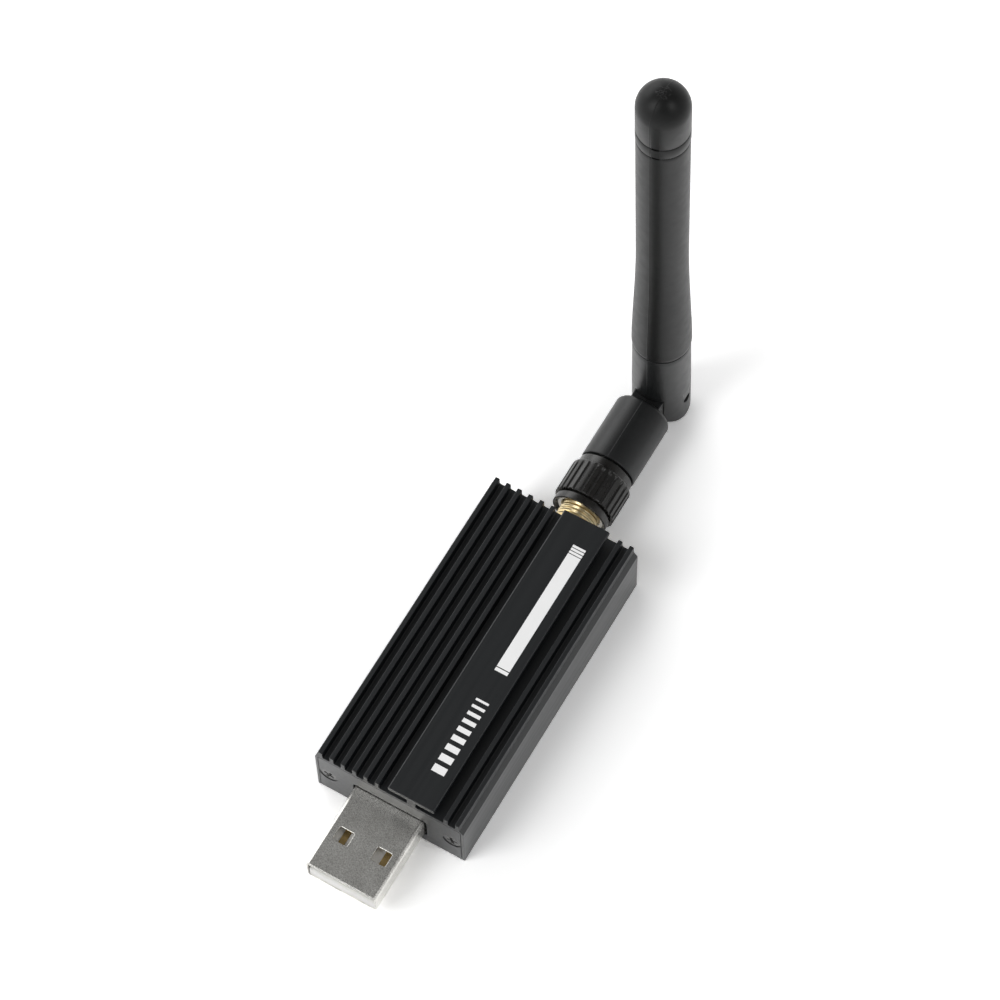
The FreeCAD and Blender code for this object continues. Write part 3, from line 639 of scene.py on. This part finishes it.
def add_block(shape, low, high):
    """A block between two corners in millimetres, added to a mesh in the making."""
    middle = (Vector(low) + Vector(high)) / 2
    size = Vector(high) - Vector(low)
    bmesh.ops.create_cube(shape, size=MM, matrix=Matrix.Translation(middle * MM) @ Matrix.Diagonal((*size, 1)))


def add_jack_foot(mesh):
    """The square flange with its hole, and the four legs astride the board."""
    shape = bmesh.new()
    shape.from_mesh(mesh)
    x, z, half, hole = HINGE.x / MM, HINGE.z / MM, JACK_RADIUS, JACK_RADIUS - 0.4
    front, back = FLANGE_FRONT, CASE_REAR - 1.5
    add_block(shape, (x - half, front, z + hole), (x + half, back, z + half))
    add_block(shape, (x - half, front, z - half), (x + half, back, z - hole))
    add_block(shape, (x - half, front, z - hole), (x - hole, back, z + hole))
    add_block(shape, (x + hole, front, z - hole), (x + half, back, z + hole))
    board_low, board_high = (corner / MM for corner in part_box("circuit_board"))
    for side in (-1, 1):
        for low, high in ((board_high.z, board_high.z + 1), (board_low.z - 1, board_low.z)):
            leg = x + side * 2.6
            add_block(shape, (leg - 0.5, jack_low.y, low), (leg + 0.5, front, high))
    shape.to_mesh(mesh)
    shape.free()


add_jack_foot(jack_mesh)
keep_piece("threaded_jack", smooth(jack_mesh, 70), "stick", "jack_body")

# %% [markdown]
# ## The coupling grip
# The nut's grip has broad lands with fine flutes between them for the fingers. They run from the groove behind
# the mouth ring and fade out just before the collar. The turned body has a dozen columns for each flute, and
# the tree presses a round-bottomed channel into the skin wherever the turn comes close to a flute's middle.

# %% Flute tree
def flute_tree():
    tree, start, end = new_tree("fluted_grip", AXIS_INPUTS + [
        ("Flutes", "Int", 26), ("Depth", "Float", 0.26 * MM), ("Width share", "Float", 0.42),
        ("Flute start", "Float", 0.0), ("Flute end", "Float", 1.0), ("Fade", "Float", 0.5 * MM),
        ("Skin radius", "Float", 4.7 * MM)])
    along, turn, radius, across, up = about_axis(tree, start)
    phase = node_math(tree, "FRACT", node_math(tree, "MULTIPLY", turn, start["Flutes"]))
    from_middle = node_math(tree, "ABSOLUTE", node_math(tree, "SUBTRACT", phase, 0.5))
    near = node_math(tree, "MINIMUM", node_math(tree, "DIVIDE", node_math(tree, "MULTIPLY", from_middle, 2),
                                                start["Width share"]), 1)
    channel = node_math(tree, "SQRT", node_math(tree, "SUBTRACT", 1, node_math(tree, "MULTIPLY", near, near)))
    run_out = node_math(tree, "DIVIDE", node_math(tree, "SUBTRACT", start["Flute end"], along), start["Fade"])
    run_out = node_math(tree, "MINIMUM", node_math(tree, "MAXIMUM", run_out, 0), 1)
    depth = node_math(tree, "MULTIPLY", node_math(tree, "MULTIPLY", channel, run_out), start["Depth"])
    selection = node_math(tree, "MULTIPLY", node_math(tree, "GREATER_THAN", radius, start["Skin radius"]),
                          inside_range(tree, along, start["Flute start"], start["Flute end"]))
    close_tree(tree, pull_in(tree, start["Geometry"], across, up, radius, depth, selection), grip_plastic, end)
    return tree


# %% Turn and flute the grip
grip_low, grip_high = (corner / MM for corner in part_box("coupling_grip"))
mouth = grip_low.y
GRIP_RADIUS = grip_high.x - HINGE.x / MM
fluted_from, fluted_to = mouth + 1.45, mouth + 7.2
grip_rows = [(fluted_from + 0.35 + (fluted_to - fluted_from - 0.85) * i / 14, GRIP_RADIUS, 0) for i in range(15)]
grip_corners = [
    (mouth, 4.35, 0.10), (mouth, 4.65, 0.12), (mouth + 1.25, 4.65, 0.10), (mouth + 1.25, 4.3, 0.05),
    (fluted_from, 4.3, 0.05), (fluted_from, GRIP_RADIUS, 0.28), *grip_rows, (fluted_to, GRIP_RADIUS - 0.02, 0.38),
    (fluted_to, 4.56, 0.06), (grip_high.y, 4.52, 0.12), (grip_high.y, 2.92, 0.05), (grip_high.y - 0.95, 2.92, 0),
    (grip_high.y - 0.95, 3.945, 0), (mouth + 0.4, 3.945, 0),
]
grip_mesh = run_tree(
    lathe("grip", rounded(grip_corners), 26 * 12, ON_JACK), flute_tree(),
    **{"Flute start": (fluted_from + 0.02) * MM, "Flute end": (fluted_to - 0.25) * MM}
)
keep_piece("fluted_grip", smooth(grip_mesh, 50), "coupling_nut", "coupling_grip")

# %% [markdown]
# ## The case screws
# Each end of the case has two countersunk screws with a cross recess. The tree builds one screw, sinks the
# recess with two crossed tapered cutters, and sets a copy at each given point, facing out of the case.

# %% Screw tree
def screw_tree():
    tree, start, end = new_tree("case_screws", [
        ("Head radius", "Float", 1.44 * MM), ("Shank radius", "Float", 0.8 * MM), ("Rim", "Float", 0.04 * MM),
        ("Cone", "Float", 0.54 * MM), ("Length", "Float", 6.3 * MM), ("Recess span", "Float", 1.9 * MM),
        ("Recess depth", "Float", 0.6 * MM), ("Sunk", "Float", 0.12 * MM)])

    def up_by(geometry, height):
        place = add_node(tree, "ShaderNodeCombineXYZ", {"Z": height})
        return add_node(tree, "GeometryNodeTransform", {"Geometry": geometry, "Translation": place.outputs[0]}).outputs[0]

    rim = add_node(tree, "GeometryNodeMeshCylinder", {
        "Vertices": 48, "Radius": start["Head radius"], "Depth": start["Rim"]}).outputs["Mesh"]
    rim = up_by(rim, node_math(tree, "MULTIPLY", start["Rim"], -0.5))
    cone = add_node(tree, "GeometryNodeMeshCone", {
        "Vertices": 48, "Radius Top": start["Head radius"], "Radius Bottom": start["Shank radius"],
        "Depth": start["Cone"]}).outputs["Mesh"]
    cone = up_by(cone, node_math(tree, "MULTIPLY", node_math(tree, "ADD", start["Rim"], start["Cone"]), -1))
    shank = add_node(tree, "GeometryNodeMeshCylinder", {
        "Vertices": 24, "Radius": start["Shank radius"], "Depth": start["Length"]}).outputs["Mesh"]
    shank = up_by(shank, node_math(tree, "SUBTRACT", node_math(tree, "MULTIPLY", start["Length"], -0.5), 0.1 * MM))
    half_span = node_math(tree, "MULTIPLY", start["Recess span"], 0.7071)
    body = rim
    for turn in (0.0, 0.25):
        wedge = add_node(tree, "GeometryNodeMeshCone", {
            "Vertices": 4, "Radius Top": node_math(tree, "MULTIPLY", half_span, 1.35), "Radius Bottom":
            node_math(tree, "MULTIPLY", half_span, 0.25), "Depth": node_math(tree, "MULTIPLY", start["Recess depth"], 1.5)})
        upright = add_node(tree, "GeometryNodeTransform", {
            "Geometry": wedge.outputs["Mesh"], "Rotation": (0, 0, math.pi / 4)})
        thin = add_node(tree, "GeometryNodeTransform", {"Geometry": upright.outputs[0], "Scale": (1, 0.26, 1)})
        turned = add_node(tree, "GeometryNodeTransform", {
            "Geometry": thin.outputs[0], "Rotation": (0, 0, 2 * math.pi * turn)})
        cutter = up_by(turned.outputs[0], node_math(tree, "MULTIPLY", start["Recess depth"], -1))
        body = cut_away(tree, body, cutter)
        cone = cut_away(tree, cone, cutter)
        shank = cut_away(tree, shank, cutter)
    parts = add_node(tree, "GeometryNodeJoinGeometry")
    for piece in (body, cone, shank):
        tree.links.new(piece, parts.inputs[0])
    screw = up_by(parts.outputs[0], node_math(tree, "MULTIPLY", start["Sunk"], -1))
    place = add_node(tree, "ShaderNodeSeparateXYZ", {0: add_node(tree, "GeometryNodeInputPosition").outputs[0]})
    facing = node_math(tree, "MULTIPLY", node_math(tree, "SIGN", place.outputs["Y"]), -math.pi / 2)
    outward = add_node(tree, "FunctionNodeEulerToRotation", {
        0: add_node(tree, "ShaderNodeCombineXYZ", {"X": facing}).outputs[0]})
    spin = add_node(tree, "FunctionNodeRandomValue", {2: 0.0, 3: math.pi / 2, "Seed": 4}, data_type="FLOAT")
    driven = add_node(tree, "FunctionNodeEulerToRotation", {
        0: add_node(tree, "ShaderNodeCombineXYZ", {"Z": spin.outputs[1]}).outputs[0]})
    turned_screw = add_node(tree, "FunctionNodeRotateRotation", {
        "Rotation": outward.outputs[0], "Rotate By": driven.outputs[0]}, rotation_space="LOCAL")
    copies = add_node(tree, "GeometryNodeInstanceOnPoints", {
        "Points": start["Geometry"], "Instance": screw, "Rotation": turned_screw.outputs[0]})
    close_tree(tree, copies.outputs[0], black_screw, end)
    return tree


def cut_away(tree, solid, cutter):
    difference = add_node(tree, "GeometryNodeMeshBoolean", {"Mesh 1": solid, "Mesh 2": cutter}, operation="DIFFERENCE")
    return difference.outputs["Mesh"]


# %% Set the screws
def points_mesh(name, points):
    """A mesh of loose points, given in millimetres."""
    mesh = bpy.data.meshes.new(name)
    mesh.from_pydata([[value * MM for value in point] for point in points], [], [])
    return mesh


def middle_of(node_name):
    low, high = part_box(node_name)
    return (low + high) / 2 / MM


screw_height = middle_of("front_screws").z
screw_places = [(side * screw_out, end * CASE_REAR, screw_height) for end in (-1, 1) for side in (-1, 1)]
screws_mesh = run_tree(points_mesh("screw_places", screw_places), screw_tree())
keep_piece("countersunk_screws", smooth(screws_mesh, 30), "stick", "front_screws", "rear_screws")

# %% [markdown]
# ## The whip's sleeve
# The sleeve is one long moulding: a wide foot, a long neck that narrows along a gentle curve, two fine grooves
# and a domed tip. It is turned hollow, as it is moulded, with its rings closest where the curve bends most.
# A tree then cuts the short slot that each groove has on its front.

# %% Turn the sleeve
FOOT, NECK, TIP, SEAM, DOME = 4.62, 3.90, 3.95, 16.7, 85.94


def sleeve_profile():
    points = [(SEAM, 3.35), (SEAM, FOOT - 0.12), (SEAM + 0.04, FOOT - 0.04), (SEAM + 0.12, FOOT)]
    curve = ((16.9, FOOT), (22.9, FOOT), (35.5, NECK), (45.2, NECK))
    for step in range(1, 33):
        t = step / 32
        weights = ((1 - t) ** 3, 3 * (1 - t) ** 2 * t, 3 * (1 - t) * t * t, t ** 3)
        points.append(tuple(sum(w * p[axis] for w, p in zip(weights, curve)) for axis in (0, 1)))
    points += [(45.2 + 8 * step, NECK) for step in range(1, 5)]
    for middle, before, after in ((78.1, NECK, TIP), (80.6, TIP, TIP)):
        points += [(middle - 0.20, before), (middle - 0.15, before - 0.02), (middle - 0.10, before - 0.08),
                   (middle, before - 0.10), (middle + 0.10, after - 0.08), (middle + 0.15, after - 0.02),
                   (middle + 0.20, after)]
    for step in range(0, 19):
        turn = math.pi / 2 * step / 18
        points.append((DOME + TIP * math.sin(turn), TIP * math.cos(turn) if step < 18 else 0.0))
    hollow = [(22.0, 3.35), (22.0, 2.7), (85.9, 2.7), (88.6, 0.0)]
    return points[::-1] + hollow


def slotted_sleeve_tree():
    tree, start, end = new_tree("slotted_sleeve", [
        ("Width", "Float", 1.1 * MM), ("Height", "Float", 0.5 * MM), ("Depth", "Float", 0.9 * MM),
        ("Skin radius", "Float", TIP * MM), ("Turn", "Float", math.radians(12.4)), ("First slot", "Float", 78.1 * MM),
        ("Second slot", "Float", 80.6 * MM)])
    deep = node_math(tree, "MULTIPLY", start["Depth"], 2)
    size = add_node(tree, "ShaderNodeCombineXYZ", {"X": start["Width"], "Y": start["Height"], "Z": deep})
    block = add_node(tree, "GeometryNodeMeshCube", {"Size": size.outputs[0]})
    turn = add_node(tree, "ShaderNodeCombineXYZ", {"Y": start["Turn"]})
    shape = start["Geometry"]
    for label in ("First slot", "Second slot"):
        spot = add_node(tree, "ShaderNodeCombineXYZ", {"Y": start[label], "Z": start["Skin radius"]})
        out = add_node(tree, "GeometryNodeTransform", {"Geometry": block.outputs["Mesh"], "Translation": spot.outputs[0]})
        cutter = add_node(tree, "GeometryNodeTransform", {"Geometry": out.outputs[0], "Rotation": turn.outputs[0]})
        shape = cut_away(tree, shape, cutter.outputs[0])
    close_tree(tree, shape, antenna_plastic, end)
    return tree


sleeve_mesh = run_tree(lathe("sleeve", sleeve_profile(), 128, Matrix.Identity(4)), slotted_sleeve_tree())
sleeve_mesh.transform(ON_WHIP)
keep_piece("sleeve", smooth(sleeve_mesh, 40), "whip", "whip_sleeve")

# %% [markdown]
# ## The print on the rail
# White ink lies on the rail: a plain label bar with short stripes at its ends, and near the plug a row of
# stripes that grow thinner. The ink is a film a few hundredths of a millimetre thick. One tree sets all of
# it: a block for each point, stretched by the size that the point carries.

# %% Ink tree
def ink_tree():
    tree, start, end = new_tree("white_print", [("Film", "Float", 0.04 * MM)])
    size = add_node(tree, "GeometryNodeInputNamedAttribute", {"Name": "ink_size"}, data_type="FLOAT_VECTOR")
    block = add_node(tree, "GeometryNodeMeshCube", {"Size": (1, 1, 1)})
    parts = add_node(tree, "ShaderNodeSeparateXYZ", {0: size.outputs["Attribute"]})
    scale = add_node(tree, "ShaderNodeCombineXYZ", {
        "X": parts.outputs["X"], "Y": parts.outputs["Y"], "Z": start["Film"]})
    copies = add_node(tree, "GeometryNodeInstanceOnPoints", {
        "Points": start["Geometry"], "Instance": block.outputs["Mesh"], "Scale": scale.outputs[0]})
    close_tree(tree, copies.outputs[0], white_ink, end)
    return tree


# %% Lay out the print
def ink_rows():
    """Each block as its two limits along the rail."""
    rows = [(-2.10, -1.53), (-1.36, 20.03)] + [(20.17 + 0.54 * i, 20.57 + 0.54 * i) for i in range(3)]
    place = -20.6
    for step in range(9):
        thickness = 1.25 - 0.11 * step
        rows.append((place, place + thickness))
        place += thickness + 0.75
    return rows


rows = ink_rows()
ink_points = points_mesh("ink_places", [(5.18, (low + high) / 2, RAIL_TOP) for low, high in rows])
ink_size = ink_points.attributes.new("ink_size", "FLOAT_VECTOR", "POINT")
for row, (low, high) in zip(ink_size.data, rows):
    row.vector = (2.18 * MM, (high - low) * MM, 0)
print_mesh = run_tree(ink_points, ink_tree())
ink = keep_piece("rail_print", print_mesh, "stick")

# %% [markdown]
# ## The other solids
# Every solid that stays as it is gets the finish of its own material.

# %% Give the solids their finishes
finish_of = {
    "outer_contact_left": shaded_contact_gold,
    "outer_contact_right": shaded_contact_gold,
    "inner_contact_left": shaded_contact_gold,
    "inner_contact_right": shaded_contact_gold,
    "circuit_board": chip_plastic,
    "radio_chip": chip_plastic,
    "bridge_chip": chip_plastic,
    "voltage_regulator": chip_plastic,
    "radio_crystal": crystal_metal,
    "clock_crystal": crystal_metal,
    "capacitors": capacitor_ceramic,
    "jack_insulator": insulator_plastic,
    "jack_contact": gold,
    "connector_ferrule": nickelled_brass,
    "connector_insulator": insulator_plastic,
    "connector_pin": gold,
    "radiator_core": bare_brass,
    "radiator_skirt": bare_brass,
}
for name, finish in finish_of.items():
    mesh = frame["nodes"][name].data
    mesh.materials.clear()
    mesh.materials.append(finish)
print("solids with a finish:", len(finish_of))

# %% [markdown]
# ## Floor, world and lamps
# The stick lies on a white table under a dim ceiling. A wide soft lamp on the left stands for a window, and
# two smaller ones stand on either side of the camera. For the camera and for reflections the table is painted
# whiter than it is for the light that it throws back, so the open table is pure white, a close shadow stays
# grey, and the stick isn't lit any harder.

# %% Light the scene
def seen_ray(tree):
    """1 for rays from the camera, from a reflection or through glass, and 0 for light that falls on things."""
    path = tree.nodes.new("ShaderNodeLightPath")
    seen = node_math(tree, "MAXIMUM", path.outputs["Is Camera Ray"], path.outputs["Is Glossy Ray"])
    return node_math(tree, "MAXIMUM", seen, path.outputs["Is Transmission Ray"])


def white_floor(paint, seen_paint):
    bpy.ops.mesh.primitive_plane_add(size=1.4, location=(0, 0, -0.00003))
    floor = bpy.context.object
    floor.name = "floor"
    finish = bpy.data.materials.new("white_table")
    finish.use_nodes = True
    tree = finish.node_tree
    tree.nodes.clear()
    diffuse = tree.nodes.new("ShaderNodeBsdfDiffuse")
    tree.links.new(between(tree, seen_ray(tree), (paint,) * 3, (seen_paint,) * 3), diffuse.inputs["Color"])
    output = tree.nodes.new("ShaderNodeOutputMaterial")
    tree.links.new(diffuse.outputs[0], output.inputs["Surface"])
    floor.data.materials.append(finish)


def soft_world(walls, ceiling):
    """White walls under a dim ceiling, brighter on the left, and white where the camera sees past the table."""
    world = bpy.data.worlds.new("studio")
    bpy.context.scene.world = world
    world.use_nodes = True
    tree = world.node_tree
    direction = tree.nodes.new("ShaderNodeTexCoord")
    parts = tree.nodes.new("ShaderNodeSeparateXYZ")
    tree.links.new(direction.outputs["Generated"], parts.inputs[0])
    level = spread(tree, parts.outputs["Z"], walls, ceiling, 0.35, 0.62)
    level = node_math(tree, "MULTIPLY", level, spread(tree, parts.outputs["X"], 1.25, 0.6, -1, 1))
    path = tree.nodes.new("ShaderNodeLightPath")
    strength = node_math(tree, "MAXIMUM", level, path.outputs["Is Camera Ray"])
    background = tree.nodes["Background"]
    background.inputs["Color"].default_value = (1, 1, 1, 1)
    tree.links.new(strength, background.inputs["Strength"])


def soft_lamp(name, place, width, height, power):
    lamp = bpy.data.objects.new(name, bpy.data.lights.new(name, "AREA"))
    lamp.data.shape = "RECTANGLE"
    lamp.data.size = width
    lamp.data.size_y = height
    lamp.data.energy = power
    lamp.location = Vector(place)
    lamp.rotation_euler = (-Vector(place)).to_track_quat("-Z", "Y").to_euler()
    bpy.context.scene.collection.objects.link(lamp)


white_floor(0.8, 1.54)
soft_world(1.05, 0.22)
soft_lamp("window_left", (-0.80, 0.42, 0.50), 1.00, 0.56, 3.1)
soft_lamp("front_left", (-0.37, -0.55, 0.75), 0.46, 0.58, 3.4)
soft_lamp("front_right", (0.64, -0.03, 0.76), 0.30, 0.46, 1.6)
bpy.context.scene.view_settings.view_transform = "Standard"
